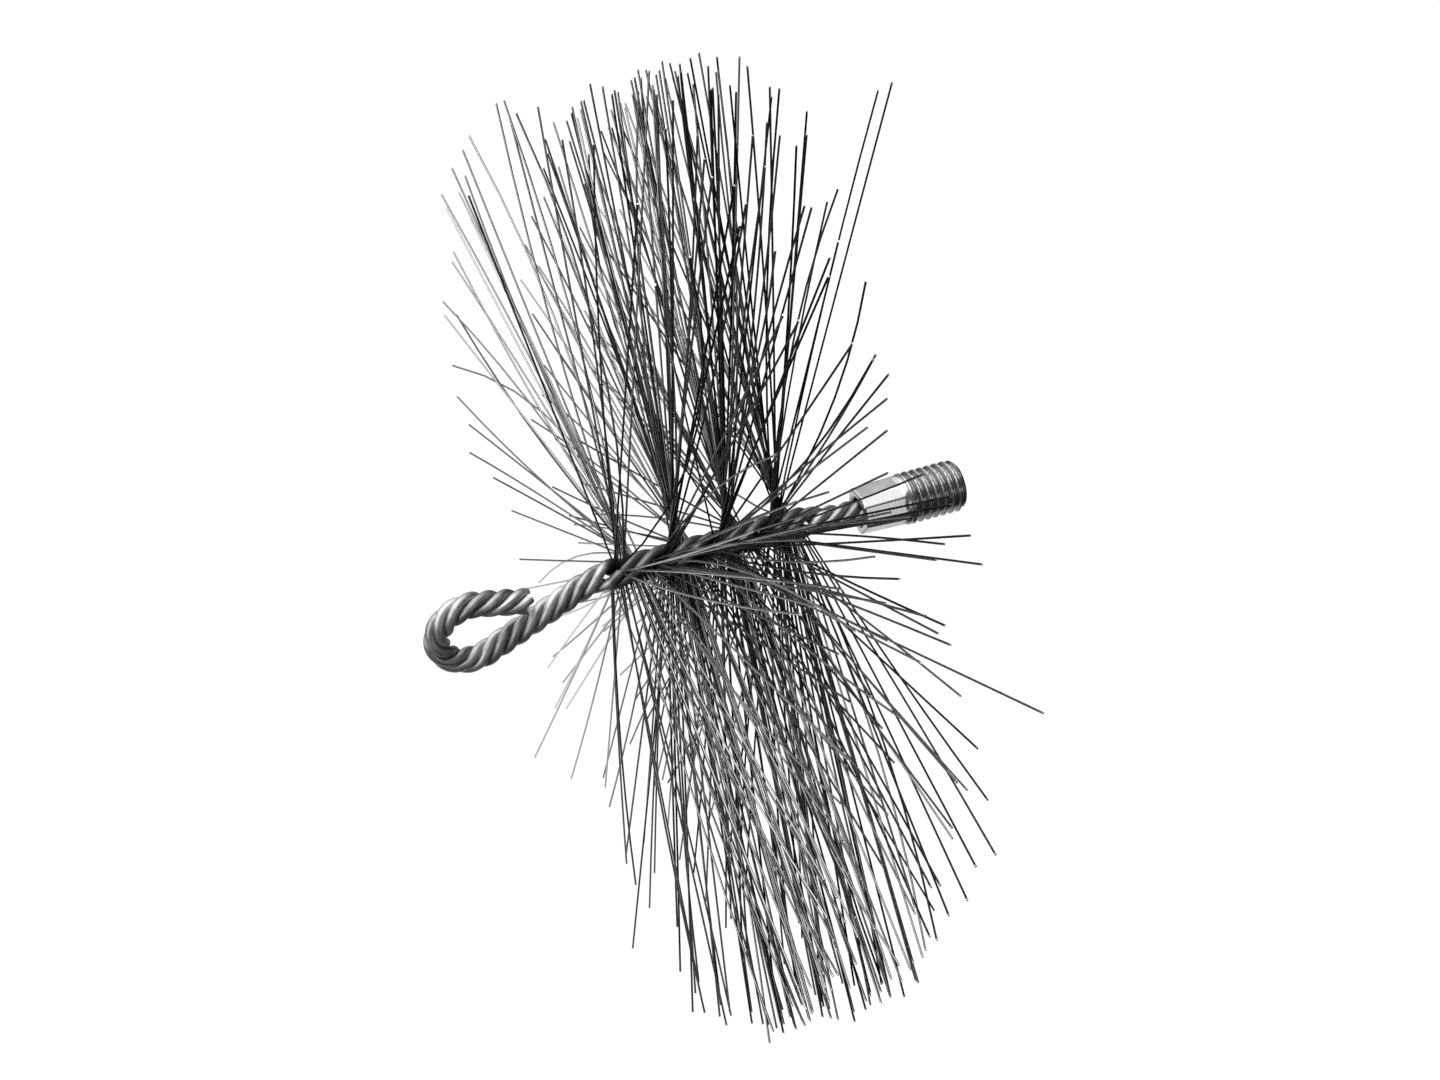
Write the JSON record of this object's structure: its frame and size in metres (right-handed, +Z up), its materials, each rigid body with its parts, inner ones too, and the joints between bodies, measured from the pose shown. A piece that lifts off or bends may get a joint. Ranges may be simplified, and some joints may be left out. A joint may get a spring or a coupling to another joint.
{
  "type": "chimney sweep brush",
  "caption": "Round wire chimney brush: spring-steel bristles fanned from a twisted wire stem, with a hanging eye at one end and a crimped threaded stud at the other.",
  "frame": {"origin": "centre of the stud's free end face", "axes": "+X along the stem out of the stud's free end, +Z up as the brush lies on its bristles, the eye lies in the plane of X and Z"},
  "size_m": [0.1346, 0.2253, 0.2228],
  "materials": {
    "stud": "turned steel with a thin bright plating, darker in the thread's roots",
    "stem_wire": "drawn steel wire, grey and slightly scuffed on the outer side of each turn",
    "bristle": "oil-tempered spring wire, dark grey with a faint sheen along it and bright cut tips"
  },
  "bodies": {
    "root": {"threaded_stud": "stud", "stem_wire_1": "stem_wire", "stem_wire_2": "stem_wire", "stem_wire_3": "stem_wire", "stem_wire_4": "stem_wire", "bristle_tuft_1": "bristle", "bristle_tuft_2": "bristle", "bristle_tuft_3": "bristle", "bristle_tuft_4": "bristle"}
  },
  "joints": []
}
